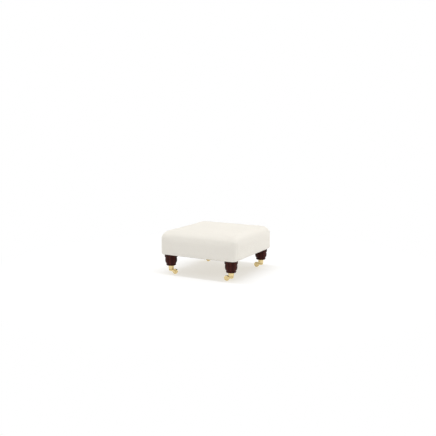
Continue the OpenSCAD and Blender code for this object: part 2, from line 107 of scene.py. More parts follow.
def addNode(tree, kind, inputs=None, **settings):
    made = tree.nodes.new("ShaderNode" + kind)
    for key, value in settings.items():
        setattr(made, key, value)
    for key, value in (inputs or {}).items():
        feed(tree, made.inputs[key], value)
    return made


def calc(tree, operation, *values):
    made = addNode(tree, "Math", operation=operation)
    for socket, value in zip(made.inputs, values):
        feed(tree, socket, value)
    return made.outputs[0]


def stretch(tree, place, scale):
    return addNode(tree, "Mapping", {"Vector": place, "Scale": scale}).outputs[0]


def noiseAt(tree, place, scale, detail=3.0, roughness=0.55, distortion=0.0):
    return addNode(tree, "TexNoise", {
        "Vector": place, "Scale": scale, "Detail": detail, "Roughness": roughness, "Distortion": distortion,
    }).outputs["Fac"]


def spread(tree, value, fromLow, fromHigh, toLow=0.0, toHigh=1.0):
    return addNode(tree, "MapRange", {
        "Value": value, "From Min": fromLow, "From Max": fromHigh, "To Min": toLow, "To Max": toHigh,
    }).outputs[0]


def ramp(tree, factor, stops):
    made = addNode(tree, "ValToRGB", {"Fac": factor})
    elements = made.color_ramp.elements
    while len(elements) < len(stops):
        elements.new(0.5)
    for element, (position, colour) in zip(elements, stops):
        element.position = position
        element.color = (*colour, 1)
    return made.outputs["Color"]


def mixColour(tree, factor, first, second, blend="MIX"):
    made = addNode(tree, "Mix", data_type="RGBA", blend_type=blend)
    for socket, value in zip((made.inputs[0], made.inputs[6], made.inputs[7]), (factor, first, second)):
        if isinstance(value, tuple):
            value = (*value, 1)
        feed(tree, socket, value)
    return made.outputs[2]


def bump(tree, height, distance, strength=1.0, normal=None):
    inputs = {"Height": height, "Distance": distance, "Strength": strength}
    if normal is not None:
        inputs["Normal"] = normal
    return addNode(tree, "Bump", inputs).outputs[0]


def framePlace(tree):
    return addNode(tree, "TexCoord").outputs["Object"]      # metres, in the shared frame


# materials

weave = {
    "colour": (0.93, 0.893, 0.817),     # the light side of the yarn
    "shade": (0.87, 0.827, 0.744),      # painted shade down between the yarns
    "slubColour": (0.945, 0.916, 0.853),
    "handled": (0.84, 0.80, 0.72),      # faint patches from use
    "pitch": 0.0011,    # metres from yarn to yarn
    "relief": 0.00018,  # metres
    "slub": 0.00025,    # metres, how far thick yarns stand up
    "roughness": (0.95, 0.82),          # on thin yarns and on thick ones
    "sheenTint": (1.0, 0.96, 0.88, 1),
}


def yarnHeight(tree, place, pitch):
    # plain weave: in turn one yarn lies over the other, and each is round across its width
    scaled = stretch(tree, place, (1 / pitch, 1 / pitch, 1))
    parts = addNode(tree, "SeparateXYZ", {"Vector": scaled})
    across = calc(tree, "ABSOLUTE", calc(tree, "SINE", calc(tree, "MULTIPLY", parts.outputs[0], math.pi)))
    along = calc(tree, "ABSOLUTE", calc(tree, "SINE", calc(tree, "MULTIPLY", parts.outputs[1], math.pi)))
    lifted = addNode(tree, "CombineXYZ", {"X": parts.outputs[0], "Y": parts.outputs[1], "Z": 0.5})
    over = addNode(tree, "TexChecker", {"Vector": lifted.outputs[0], "Scale": 1.0}).outputs["Fac"]
    warp = calc(tree, "MULTIPLY", across, calc(tree, "MULTIPLY_ADD", along, 0.4, 0.6))
    weft = calc(tree, "MULTIPLY", along, calc(tree, "MULTIPLY_ADD", across, 0.4, 0.6))
    difference = calc(tree, "SUBTRACT", warp, weft)
    return calc(tree, "MULTIPLY_ADD", difference, over, weft)


def slubs(tree, place):
    # uneven yarns run the whole width both ways
    down = noiseAt(tree, stretch(tree, place, (620, 14, 1)), 1.0, 2.0)
    cross = noiseAt(tree, stretch(tree, place, (11, 560, 1)), 1.0, 2.0)
    return calc(tree, "MULTIPLY", calc(tree, "ADD", down, cross), 0.5)


def coverMaterial():
    material, tree, shader = newMaterial("creamWeave")
    threads = addNode(tree, "UVMap", uv_map="threads").outputs["UV"]
    yarns = yarnHeight(tree, threads, weave["pitch"])
    uneven = slubs(tree, threads)
    handling = noiseAt(tree, framePlace(tree), 7.0, 4.0)
    # painted shade: the yarns darken towards the shade colour down between them, where the bump is lowest
    base = mixColour(tree, spread(tree, yarns, 0.05, 0.75), weave["shade"], weave["colour"])
    base = mixColour(tree, spread(tree, uneven, 0.35, 0.65, 0.0, 0.5), base, weave["slubColour"])
    base = mixColour(tree, spread(tree, handling, 0.35, 0.7, 0.0, 0.10), base, weave["handled"])
    feed(tree, shader.inputs["Base Color"], base)
    feed(tree, shader.inputs["Roughness"], spread(tree, uneven, 0.3, 0.7, *weave["roughness"]))
    normal = bump(tree, uneven, weave["slub"], 0.6)
    normal = bump(tree, yarns, weave["relief"], 0.7, normal)
    feed(tree, shader.inputs["Normal"], normal)
    shader.inputs["Specular IOR Level"].default_value = 0.1
    shader.inputs["Sheen Weight"].default_value = 0.04
    shader.inputs["Sheen Roughness"].default_value = 0.5
    shader.inputs["Sheen Tint"].default_value = weave["sheenTint"]
    return material


mahogany = {
    "dark": (0.0375, 0.0075, 0.0056),
    "mid": (0.050, 0.0104, 0.0080),
    "light": (0.074, 0.0160, 0.0113),
    "pore": (0.010, 0.004, 0.003),
    "rubbed": (0.11, 0.042, 0.027),     # along worn edges
    "ringGap": 0.0045,      # metres between growth layers
    "roughness": (0.34, 0.48),
}


def mahoganyMaterial():
    material, tree, shader = newMaterial("darkMahogany")
    place = framePlace(tree)
    wander = noiseAt(tree, stretch(tree, place, (16, 16, 3)), 1.0, 3.0)
    parts = addNode(tree, "SeparateXYZ", {"Vector": place})
    slanted = calc(tree, "MULTIPLY_ADD", parts.outputs[1], 0.35, parts.outputs[0])
    waver = calc(tree, "MULTIPLY", wander, 9.0)
    rings = calc(tree, "MULTIPLY_ADD", slanted, 1 / mahogany["ringGap"], waver)
    grain = calc(tree, "MULTIPLY_ADD", calc(tree, "SINE", rings), 0.5, 0.5)
    streaks = noiseAt(tree, stretch(tree, place, (420, 420, 14)), 1.0, 4.0, 0.65)
    pores = noiseAt(tree, stretch(tree, place, (1500, 1500, 60)), 1.0, 2.0, 0.5)
    mixed = calc(tree, "MULTIPLY_ADD", grain, 0.55, calc(tree, "MULTIPLY", streaks, 0.45))
    base = ramp(tree, mixed, [
        (0.22, mahogany["dark"]),
        (0.52, mahogany["mid"]),
        (0.85, mahogany["light"]),
    ])
    base = mixColour(tree, spread(tree, pores, 0.60, 0.72, 0.0, 0.65), base, mahogany["pore"])
    edge = addNode(tree, "NewGeometry").outputs["Pointiness"]
    rubbed = spread(tree, edge, 0.53, 0.60, 0.0, 0.35)
    base = mixColour(tree, rubbed, base, mahogany["rubbed"])
    feed(tree, shader.inputs["Base Color"], base)
    feed(tree, shader.inputs["Roughness"], spread(tree, streaks, 0.3, 0.7, *mahogany["roughness"]))
    handled = noiseAt(tree, place, 55.0, 3.0)
    normal = bump(tree, pores, 0.00006, 0.5)
    normal = bump(tree, handled, 0.00025, 0.3, normal)
    feed(tree, shader.inputs["Normal"], normal)
    shader.inputs["Specular IOR Level"].default_value = 0.08
    shader.inputs["Coat Weight"].default_value = 0.03
    shader.inputs["Coat Roughness"].default_value = 0.16
    return material


brassLook = {
    "bright": (0.822, 0.664, 0.352),
    "aged": (0.55, 0.41, 0.185),
    "speck": (0.34, 0.23, 0.10),
    "roughness": (0.16, 0.34),
}


def brassMaterial():
    material, tree, shader = newMaterial("polishedBrass")
    place = framePlace(tree)
    clouds = noiseAt(tree, place, 70.0, 5.0, 0.6)
    specks = noiseAt(tree, place, 900.0, 2.0, 0.5)
    edge = addNode(tree, "NewGeometry").outputs["Pointiness"]
    hollow = spread(tree, edge, 0.49, 0.43)
    aged = calc(tree, "MULTIPLY_ADD", hollow, 0.55, spread(tree, clouds, 0.48, 0.75, 0.0, 0.45))
    aged = calc(tree, "MINIMUM", aged, 0.85)
    base = mixColour(tree, aged, brassLook["bright"], brassLook["aged"])
    base = mixColour(tree, spread(tree, specks, 0.66, 0.74, 0.0, 0.5), base, brassLook["speck"])
    scratches = noiseAt(tree, stretch(tree, place, (260, 260, 2600)), 1.0, 3.0, 0.6)
    feed(tree, shader.inputs["Base Color"], base)
    feed(tree, shader.inputs["Roughness"], spread(tree, clouds, 0.3, 0.75, *brassLook["roughness"]))
    shader.inputs["Metallic"].default_value = 1.0
    normal = bump(tree, scratches, 0.00002, 0.5)
    normal = bump(tree, clouds, 0.00015, 0.35, normal)
    feed(tree, shader.inputs["Normal"], normal)
    return material


zinc = {
    "dull": (0.40, 0.41, 0.43),
    "clean": (0.56, 0.57, 0.58),
    "yellowed": (0.64, 0.62, 0.56),
    "roughness": (0.28, 0.46),
}


def steelMaterial():
    material, tree, shader = newMaterial("zincPlatedSteel")
    place = framePlace(tree)
    clouds = noiseAt(tree, place, 180.0, 4.0)
    lines = noiseAt(tree, stretch(tree, place, (900, 900, 4000)), 1.0, 2.0)
    base = ramp(tree, clouds, [(0.3, zinc["dull"]), (0.55, zinc["clean"]), (0.8, zinc["yellowed"])])
    feed(tree, shader.inputs["Base Color"], base)
    feed(tree, shader.inputs["Roughness"], spread(tree, clouds, 0.3, 0.8, *zinc["roughness"]))
    feed(tree, shader.inputs["Normal"], bump(tree, lines, 0.00002, 0.5))
    shader.inputs["Metallic"].default_value = 1.0
    return material


beech = {
    "dark": (0.56, 0.38, 0.21),
    "mid": (0.68, 0.50, 0.31),
    "light": (0.78, 0.61, 0.42),
    "fleck": (0.42, 0.26, 0.13),
    "roughness": (0.62, 0.78),
}


def beechMaterial(name, along):
    # along is the grain's own axis: 0 for X, 1 for Y, 2 for Z
    material, tree, shader = newMaterial(name)
    place = framePlace(tree)
    fine, coarse, pores = [900.0] * 3, [38.0] * 3, [2200.0] * 3
    fine[along], coarse[along], pores[along] = 9.0, 1.6, 130.0
    figure = noiseAt(tree, stretch(tree, place, coarse), 1.0, 3.0, 0.5, 0.6)
    rings = calc(tree, "MULTIPLY_ADD", calc(tree, "SINE", calc(tree, "MULTIPLY", figure, 42.0)), 0.5, 0.5)
    streaks = noiseAt(tree, stretch(tree, place, fine), 1.0, 3.0)
    flecks = noiseAt(tree, stretch(tree, place, pores), 1.0, 1.0)
    mixed = calc(tree, "MULTIPLY_ADD", rings, 0.4, calc(tree, "MULTIPLY", streaks, 0.6))
    base = ramp(tree, mixed, [(0.2, beech["dark"]), (0.5, beech["mid"]), (0.8, beech["light"])])
    base = mixColour(tree, spread(tree, flecks, 0.62, 0.7, 0.0, 0.6), base, beech["fleck"])
    feed(tree, shader.inputs["Base Color"], base)
    feed(tree, shader.inputs["Roughness"], spread(tree, streaks, 0.3, 0.7, *beech["roughness"]))
    feed(tree, shader.inputs["Normal"], bump(tree, streaks, 0.00012, 0.6))
    return material


hessianLook = {
    "light": (0.56, 0.43, 0.27),
    # dark is painted shade down between the yarns
    "dark": (0.20, 0.14, 0.08),
    "pitch": 0.0028,    # metres from yarn to yarn
    "relief": 0.0004,   # metres
    "hairBrightness": 1.3,
}


def hessianMaterial():
    material, tree, shader = newMaterial("openHessian")
    place = framePlace(tree)
    light, relief = hessianLook["light"], hessianLook["relief"]
    yarns = yarnHeight(tree, place, hessianLook["pitch"])
    hairs = noiseAt(tree, stretch(tree, place, (900, 900, 900)), 1.0, 4.0, 0.7)
    hairColour = tuple(hessianLook["hairBrightness"] * x for x in light)
    # painted shade: the yarns darken down between them, where the bump is lowest
    base = mixColour(tree, spread(tree, yarns, 0.1, 0.7), hessianLook["dark"], light)
    base = mixColour(tree, spread(tree, hairs, 0.5, 0.7, 0.0, 0.35), base, hairColour)
    feed(tree, shader.inputs["Base Color"], base)
    shader.inputs["Roughness"].default_value = 0.93
    shader.inputs["Sheen Weight"].default_value = 0.1
    normal = bump(tree, yarns, relief, 0.9)
    feed(tree, shader.inputs["Normal"], bump(tree, hairs, relief * 0.4, 0.4, normal))
    return material


jute = {
    "light": (0.62, 0.49, 0.32),
    # dark is painted shade in the twill's grooves
    "dark": (0.40, 0.29, 0.17),
    "hair": (0.74, 0.62, 0.44),
    "turnBack": 0.004,      # metres across a strap over which the twill's slant runs one way
    "lines": 2600.0,        # radians of twill to the metre
    "relief": 0.0003,       # metres
}


def webbingMaterial(name, lengthAlongX):
    # twill lines whose slant turns back and forth across the strap
    material, tree, shader = newMaterial(name)
    parts = addNode(tree, "SeparateXYZ", {"Vector": framePlace(tree)})
    run, across = parts.outputs[0 if lengthAlongX else 1], parts.outputs[1 if lengthAlongX else 0]
    zigzag = calc(tree, "PINGPONG", across, jute["turnBack"])
    twill = calc(tree, "SINE", calc(tree, "MULTIPLY", calc(tree, "ADD", run, zigzag), jute["lines"]))
    hairs = noiseAt(tree, framePlace(tree), 1400.0, 3.0)
    # painted shade: the twill darkens in its grooves, where the bump is lowest
    base = mixColour(tree, spread(tree, twill, -1, 1), jute["dark"], jute["light"])
    base = mixColour(tree, spread(tree, hairs, 0.5, 0.7, 0.0, 0.4), base, jute["hair"])
    feed(tree, shader.inputs["Base Color"], base)
    shader.inputs["Roughness"].default_value = 0.9
    feed(tree, shader.inputs["Normal"], bump(tree, twill, jute["relief"], 0.7))
    return material


spunCloth = {
    "light": (0.055, 0.055, 0.058),
    "dark": (0.018, 0.018, 0.020),
    "bond": (0.012, 0.012, 0.013),
    "bonds": 620.0,     # bonding dots to the metre
}


def bottomingMaterial():
    # thin black spun-bonded cloth, with its grid of bonding dots
    material, tree, shader = newMaterial("blackBottomingCloth")
    place = framePlace(tree)
    fibres = noiseAt(tree, place, 1100.0, 4.0, 0.7, 1.2)
    dots = addNode(tree, "TexVoronoi", {"Vector": place, "Scale": spunCloth["bonds"], "Randomness": 0.15})
    dot = spread(tree, dots.outputs["Distance"], 0.18, 0.32)
    base = mixColour(tree, spread(tree, fibres, 0.35, 0.7), spunCloth["dark"], spunCloth["light"])
    base = mixColour(tree, spread(tree, dot, 0, 1, 0.6, 0.0), base, spunCloth["bond"])
    feed(tree, shader.inputs["Base Color"], base)
    feed(tree, shader.inputs["Roughness"], spread(tree, dot, 0, 1, 0.55, 0.85))
    shader.inputs["Sheen Weight"].default_value = 0.05
    normal = bump(tree, dot, 0.00012, 0.6)
    feed(tree, shader.inputs["Normal"], bump(tree, fibres, 0.0001, 0.5, normal))
    return material


padding = {     # sizes in metres
    # in both looks, dark is painted shade in the hollow middle of each cell
    "foam": {
        "light": (0.86, 0.80, 0.58), "dark": (0.62, 0.54, 0.33), "cell": 0.0012, "relief": 0.0004,
    },
    "wadding": {
        "light": (0.93, 0.93, 0.92), "dark": (0.78, 0.78, 0.77), "cell": 0.0030, "relief": 0.0006,
    },
}


def paddingMaterial(name, look):
    # foam cells or loose wadding fibres
    material, tree, shader = newMaterial(name)
    place = framePlace(tree)
    cells = addNode(tree, "TexVoronoi", {"Vector": place, "Scale": 1 / look["cell"]}).outputs["Distance"]
    clouds = noiseAt(tree, place, 30.0, 5.0)
    dimmed = tuple(0.9 * x for x in look["light"])
    # painted shade: each cell darkens towards its hollow middle, where the bump is lowest
    base = mixColour(tree, spread(tree, cells, 0.1, 0.7), look["dark"], look["light"])
    base = mixColour(tree, spread(tree, clouds, 0.4, 0.7, 0.0, 0.4), base, dimmed)
    feed(tree, shader.inputs["Base Color"], base)
    shader.inputs["Roughness"].default_value = 0.95
    feed(tree, shader.inputs["Normal"], bump(tree, cells, look["relief"], 0.7))
    return material


threadLook = {
    "light": (0.90, 0.87, 0.80),
    "dark": (0.74, 0.70, 0.62),
    "relief": 0.0001,   # metres
}


def threadMaterial():
    material, tree, shader = newMaterial("creamThread")
    place = framePlace(tree)
    twist = noiseAt(tree, stretch(tree, place, (3000, 3000, 3000)), 1.0, 2.0)
    base = mixColour(tree, twist, threadLook["dark"], threadLook["light"])
    feed(tree, shader.inputs["Base Color"], base)
    shader.inputs["Roughness"].default_value = 0.6
    feed(tree, shader.inputs["Normal"], bump(tree, twist, threadLook["relief"], 0.6))
    return material


finishes = {
    "cream": coverMaterial(),
    "mahogany": mahoganyMaterial(),
    "brass": brassMaterial(),
    "steel": steelMaterial(),
    "beechX": beechMaterial("beechAcross", 0),
    "beechY": beechMaterial("beechFrontToBack", 1),
    "beechZ": beechMaterial("beechUpright", 2),
    "hessian": hessianMaterial(),
    "webbingX": webbingMaterial("juteWebbingAcross", True),
    "webbingY": webbingMaterial("juteWebbingFrontToBack", False),
    "bottoming": bottomingMaterial(),
    "foam": paddingMaterial("seatFoam", padding["foam"]),
    "wadding": paddingMaterial("whiteWadding", padding["wadding"]),
    "thread": threadMaterial(),
}
print("materials made:", len(finishes))


# finishes on the pieces that stay as they are

def finishOf(name):
    starts = {
        "leg_": "mahogany", "cup_": "brass", "horn_": "brass", "wheel_": "brass", "axle_": "brass",
        "rail_front": "beechX", "rail_back": "beechX", "rail_left": "beechY", "rail_right": "beechY",
        "rail_dowels": "beechY", "corner_block_screws": "steel", "corner_block_": "beechZ",
        "hessian": "hessian", "webbing_crosswise": "webbingX", "webbing_lengthwise": "webbingY",
    }
    for start, finish in starts.items():
        if name.startswith(start):
            return finishes[finish]
    return finishes["steel"]


softEdge = {    # metres, the worn edge on each kind of metal or wooden piece
    "cup_": 0.0004, "horn_": 0.0007, "wheel_": 0.0005, "axle_": 0.0003, "corner_block_f": 0.0012,
    "corner_block_b": 0.0012, "rail_": 0.0012, "tee_nuts": 0.0002,
}
wear = {
    "weld": 0.00001,    # metres
    "segments": 2,
    "angle": 38,        # degrees, beyond which an edge is worn round
}


def dressNode(name, piece):
    piece.data.materials.clear()
    piece.data.materials.append(finishOf(name))
    width = next((w for start, w in softEdge.items() if name.startswith(start)), None)
    if width is None:
        return
    weld = piece.modifiers.new("weld", "WELD")
    weld.merge_threshold = wear["weld"]
    bevel = piece.modifiers.new("softEdge", "BEVEL")
    bevel.width = width
    bevel.segments = wear["segments"]
    bevel.limit_method = "ANGLE"
    bevel.angle_limit = math.radians(wear["angle"])
    bevel.harden_normals = True


for name, piece in cad.items():
    dressNode(name, piece)
print("finishes on the fixed pieces")


# shapes shared by the cover, the wadding and the foam

stool = {       # metres, as dressed
    "cornerRadius": 0.030,      # upright corners at the sides
    "edgeRadius": 0.040,        # padded top edge
    "topCornerRadius": 0.055,   # upright corners seen from above
    "crown": 0.008,
    "sideDraw": 0.002,
    "hemRadius": 0.004,
    "fabric": 0.0015,
    "airGap": 0.0004,
    "wadding": 0.0058,
}
coverLow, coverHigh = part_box("cover")
halfX, halfY = coverHigh.x, coverHigh.y
bottomZ = coverLow.z
edgeZ = coverHigh.z - stool["crown"]    # height of the top along its edge
legLow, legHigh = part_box("leg_back_right")      # the other three stand mirrored
legX, legY = (legLow.x + legHigh.x) / 2, (legLow.y + legHigh.y) / 2


def meshPiece(name, points, faces, material, body="stool"):
    mesh = bpy.data.meshes.new(name)
    mesh.from_pydata([tuple(p) for p in points], [], faces)
    mesh.update()
    piece = addObject(name, mesh)
    mesh.materials.append(material)
    mesh.shade_smooth()
    if body:
        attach(piece, body)
    return piece


def roundedRing(hx, hy, radius, z, draw, arcSteps, sideSteps):
    # a closed ring with round corners, drawn in by draw at the middle of each side
    signs = [(1, 1), (-1, 1), (-1, -1), (1, -1)]
    ring = []
    for quarter in range(4):
        centre = [s * (h - radius) for s, h in zip(signs[quarter], (hx, hy))]
        after = [s * (h - radius) for s, h in zip(signs[(quarter + 1) % 4], (hx, hy))]
        outward = math.radians(90 * quarter + 90)
        face = (math.cos(outward), math.sin(outward))
        for i in range(arcSteps + 1):
            angle = math.radians(90 * (quarter + i / arcSteps))
            ring.append((centre[0] + radius * math.cos(angle), centre[1] + radius * math.sin(angle), z))
        for i in range(1, sideSteps + 1):
            t = i / (sideSteps + 1)
            d = draw * math.sin(math.pi * t)
            ring.append(tuple(
                centre[k] + (after[k] - centre[k]) * t + (radius - d) * face[k] for k in (0, 1)
            ) + (z,))
    return ring


def upperRings(inset, arcSteps, sideSteps, edgeSteps, domeSteps):
    # the round top edge, then the crowned top, of a layer that lies inset inside the cover
    radius = stool["edgeRadius"] - inset
    top = edgeZ - inset
    rings = []
    for i in range(edgeSteps + 1):
        a = math.pi / 2 * i / edgeSteps
        back = radius * (1 - math.cos(a))
        plan = stool["cornerRadius"] + (stool["topCornerRadius"] - stool["cornerRadius"]) * math.sin(a)
        rings.append(roundedRing(
            halfX - inset - back, halfY - inset - back, plan - inset - back,
            top - radius * (1 - math.sin(a)), stool["sideDraw"] * math.sin(a), arcSteps, sideSteps,
        ))
    edge = rings[-1]
    spanX, spanY = halfX - stool["edgeRadius"], halfY - stool["edgeRadius"]
    for i in range(1, domeSteps + 1):
        share = 1 - i / (domeSteps + 1)
        ring = []
        for x, y, _ in edge:
            x, y = x * share, y * share
            rise = math.cos(math.pi / 2 * x / spanX) * math.cos(math.pi / 2 * y / spanY)
            ring.append((x, y, top + stool["crown"] * rise))
        rings.append(ring)
    return rings, (0, 0, top + stool["crown"])


def skinRings(rings):
    # the points of all rings, and four-sided faces from ring to ring
    count, size = len(rings), len(rings[0])
    points = [p for ring in rings for p in ring]
    faces = []
    for k in range(count - 1):
        for i in range(size):
            j = (i + 1) % size
            faces.append((k * size + i, k * size + j, (k + 1) * size + j, (k + 1) * size + i))
    return points, faces


def capEnd(points, faces, ring, size, middle, upward):
    # a fan from one ring to a point in its middle
    points.append(middle)
    end = len(points) - 1
    for i in range(size):
        j = (i + 1) % size
        a, b = ring * size + i, ring * size + j
        faces.append((a, b, end) if upward else (b, a, end))


def paddedSolid(inset, lowRings, **steps):
    rings, middle = upperRings(inset, **steps)
    rings = lowRings + rings
    points, faces = skinRings(rings)
    size = len(rings[0])
    capEnd(points, faces, len(rings) - 1, size, middle, True)
    capEnd(points, faces, 0, size, (0, 0, rings[0][0][2]), False)
    return points, faces


# the cover: swollen by a cloth simulation, then seamed at its corners

cover = {
    "voxel": 0.006,         # metres, as are the lengths below
    "hemSteps": 4,
    "startInset": 0.0020,   # the cloth starts this far inside its final place
    "sideMove": 0.0022,     # how far the cloth may swell over the rails
    "topMove": 0.0042,      # and over the foam
    "relax": (0.5, 8),      # factor and rounds of smoothing after the swelling
    "turnedEdge": 0.036,    # cloth under the rails
    "flatLip": (0.001, 0.006),  # above the underside, where the cloth's bumps set in
    "foldPlace": 0.026,     # past the corner's diagonal, on the left or right side
    "foldDepth": 0.0022,
    "foldWidth": 0.0013,
    "foldStep": 0.0013,     # how far the upper side of the fold stands up
    "foldStepWidth": (0.002, 0.012),    # over which that side rises, and lies down again
    "foldSides": (0.02, 0.05),  # in from the sides, where the folds run out
    "seamTop": 0.288,       # height where the corner folds run out
    "seamFade": 0.03,       # over which they do
    "fineReach": (0.012, 0.006),    # past each fold, cut into smaller faces once and twice
    "pullDepth": 0.0007,    # strain lines beside the corners
    "pullPlace": 0.012,     # past each fold, where they are deepest
    "pullReach": 0.035,
    "pullLines": (16, 120, 60),     # to the metre: along the side, up it, and by their slant
    "unevenness": 0.0009,
    "bumps": (9, 26),       # to the metre, broad ones and fine ones
    "topFrom": (0.262, 0.300),  # heights over which the cloth becomes the top
    "edgeLift": 0.0015,
    "cornerDrop": 0.0105,   # the cloth is pulled down hardest at the corners
    "cornerFalloff": 5,     # power by which that eases towards the middle
}
swelling = {
    "pressure": 4.0,
    "stiffness": 80,
    "bending": 2,
    "damping": (20, 5),     # of the cloth, and of the air
    "mass": 0.3,
    "quality": 5,
    "frames": 20,
    "heldHem": 0.6,         # share of the hem's radius that stays put
    "seamHold": 0.8,        # how firmly the corner folds are held
    "seamSize": (0.03, 0.003),  # metres in from the side, and past the fold
    "seamFree": 0.02,       # metres of each fold's top that aren't held
    "foamTilt": (0.25, 0.95),   # upward part of the normal, from the sides to over the foam
}


def hemRings(inset, steps):
    rings = []
    radius = stool["hemRadius"]
    for i in range(cover["hemSteps"] + 1):
        a = math.pi / 2 * i / cover["hemSteps"]
        back = radius * (1 - math.sin(a))
        rings.append(roundedRing(
            halfX - inset - back, halfY - inset - back, stool["cornerRadius"] - inset - back,
            bottomZ + radius * (1 - math.cos(a)), 0, steps["arcSteps"], steps["sideSteps"],
        ))
    return rings


def applyModifiers(piece):
    graph = bpy.context.evaluated_depsgraph_get()
    mesh = bpy.data.meshes.new_from_object(piece.evaluated_get(graph), depsgraph=graph)
    piece.modifiers.clear()
    old = piece.data
    piece.data = mesh
    bpy.data.meshes.remove(old)
    return mesh


def thicken(piece, thickness, offset):
    solid = piece.modifiers.new("clothThickness", "SOLIDIFY")
    solid.thickness = thickness
    solid.offset = offset
    return applyModifiers(piece)


def meshOf(bm, name):
    mesh = bpy.data.meshes.new(name)
    bm.to_mesh(mesh)
    bm.free()
    return mesh


def perVertex(mesh, kind):
    flat = np.empty(len(mesh.vertices) * 3)
    mesh.vertices.foreach_get(kind, flat)
    return flat.reshape(-1, 3)


def setCoordinates(mesh, points):
    mesh.vertices.foreach_set("co", points.ravel())
    mesh.update()


def smoothStep(value, low, high):
    t = np.clip((value - low) / (high - low), 0, 1)
    return t * t * (3 - 2 * t)


def pastFold(x, y):
    # how far a point lies from its corner's fold, towards the front or the back
    return (np.abs(y) - np.abs(x) + halfX - halfY) / math.sqrt(2) + cover["foldPlace"]


def inFromSide(x, y):
    return np.minimum(halfX - np.abs(x), halfY - np.abs(y))


def runOut(z):
    # 1 where a corner fold is full, and 0 above its end
    return 1 - smoothStep(z, cover["seamTop"] - cover["seamFade"], cover["seamTop"])


def holdCloth(piece, points):
    # the hem stays where it is stapled, and the corner folds give a little
    held = piece.vertex_groups.new(name="held")
    x, y, z = points.T
    inward, past = swelling["seamSize"]
    onHem = z < bottomZ + stool["hemRadius"] * swelling["heldHem"]
    onSeam = (inFromSide(x, y) < inward) & (np.abs(pastFold(x, y)) < past)
    onSeam &= ~onHem & (z < cover["seamTop"] - swelling["seamFree"])
    held.add(np.flatnonzero(onHem).tolist(), 1.0, "REPLACE")
    held.add(np.flatnonzero(onSeam).tolist(), swelling["seamHold"], "REPLACE")


def swellCloth(piece):
    mesh = piece.data
    before = perVertex(mesh, "co")
    holdCloth(piece, before)
    cloth = piece.modifiers.new("swell", "CLOTH")
    settings = cloth.settings
    settings.quality = swelling["quality"]
    settings.mass = swelling["mass"]
    settings.tension_stiffness = swelling["stiffness"]
    settings.compression_stiffness = swelling["stiffness"]
    settings.shear_stiffness = swelling["stiffness"] / 2
    settings.bending_stiffness = swelling["bending"]
    settings.tension_damping, settings.air_damping = swelling["damping"]
    settings.use_pressure = True
    settings.uniform_pressure_force = swelling["pressure"]
    settings.effector_weights.gravity = 0
    settings.vertex_group_mass = "held"
    cloth.collision_settings.use_collision = False
    for number in range(1, swelling["frames"] + 1):
        scene.frame_set(number)
    upward = perVertex(mesh, "normal")[:, 2]
    mesh = applyModifiers(piece)
    scene.frame_set(1)
    move = perVertex(mesh, "co") - before
    length = np.linalg.norm(move, axis=1)
    print("cloth moved, mm:", np.percentile(length * 1000, (10, 50, 90, 100)).round(1))
    overFoam = smoothStep(upward, *swelling["foamTilt"])
    most = cover["sideMove"] + (cover["topMove"] - cover["sideMove"]) * overFoam
    limited = most * np.tanh(length / most) / np.maximum(length, 1e-9)
    setCoordinates(mesh, before + move * limited[:, None])


def refineCorners(mesh):
    # smaller faces beside the four corner folds, so that the folds are crisp
    for reach in cover["fineReach"]:
        bm = bmesh.new()
        bm.from_mesh(mesh)
        edges = set()
        for face in bm.faces:
            c = face.calc_center_median()
            outside = inFromSide(c.x, c.y) < cover["foldSides"][0]
            near = abs(pastFold(c.x, c.y)) < reach
            if outside and near and c.z < cover["seamTop"] + reach:
                edges.update(face.edges)
        bmesh.ops.subdivide_edges(bm, edges=list(edges), cuts=1, use_grid_fill=True, smooth=0.2)
        bm.to_mesh(mesh)
        bm.free()


def shapeCover(mesh):
    points = perVertex(mesh, "co")
    normals = perVertex(mesh, "normal")
    x, y, z = points.T
    fade = runOut(z) * (1 - smoothStep(inFromSide(x, y), *cover["foldSides"]))
    across = pastFold(x, y)
    fold = -cover["foldDepth"] * np.exp(-(across / cover["foldWidth"]) ** 2)
    rise, easing = cover["foldStepWidth"]
    upper = cover["foldStep"] * smoothStep(across, 0.0, rise) * np.exp(-np.maximum(across, 0) / easing)
    pulls = np.zeros(len(points))
    small = np.zeros(len(points))
    alongSide, upSide, slant = cover["pullLines"]
    broad, fine = cover["bumps"]
    for i, point in enumerate(points):
        place = Vector(point)
        small[i] = noise.noise(place * broad) * 0.7 + noise.noise(place * fine + Vector((3, 1, 7))) * 0.3
        pulls[i] = noise.noise(Vector((across[i] * alongSide, z[i] * upSide + abs(across[i]) * slant, 5.0)))
    fromPull = (np.abs(across) - cover["pullPlace"]) / cover["pullReach"]
    strain = cover["pullDepth"] * pulls * np.exp(-fromPull ** 2)
    lipLow, lipHigh = cover["flatLip"]
    flatUnder = smoothStep(z, bottomZ + lipLow, bottomZ + lipHigh)
    move = fade * (fold + upper + strain) + cover["unevenness"] * small
    points += normals * (move * flatUnder)[:, None]
    onTop = smoothStep(z, *cover["topFrom"])
    towardCorner = (np.abs(x * y) / (halfX * halfY)) ** cover["cornerFalloff"]
    points[:, 2] += onTop * (cover["edgeLift"] - cover["cornerDrop"] * towardCorner)
    points[:, 2] = np.maximum(points[:, 2], bottomZ)
    setCoordinates(mesh, points)


def openUnderside(mesh):
    # the cloth ends where it is stapled under the rails
    bm = bmesh.new()
    bm.from_mesh(mesh)
    for side, half in ((Vector((1, 0, 0)), halfX), (Vector((0, 1, 0)), halfY)):
        for sign in (-1, 1):
            bmesh.ops.bisect_plane(
                bm, geom=bm.verts[:] + bm.edges[:] + bm.faces[:], plane_no=side,
                plane_co=side * sign * (half - cover["turnedEdge"]),
            )
    inside = []
    for face in bm.faces:
        c = face.calc_center_median()
        within = inFromSide(c.x, c.y) > cover["turnedEdge"]
        if within and c.z < bottomZ + stool["hemRadius"]:
            inside.append(face)
    bmesh.ops.delete(bm, geom=inside, context="FACES")
    bm.to_mesh(mesh)
    bm.free()


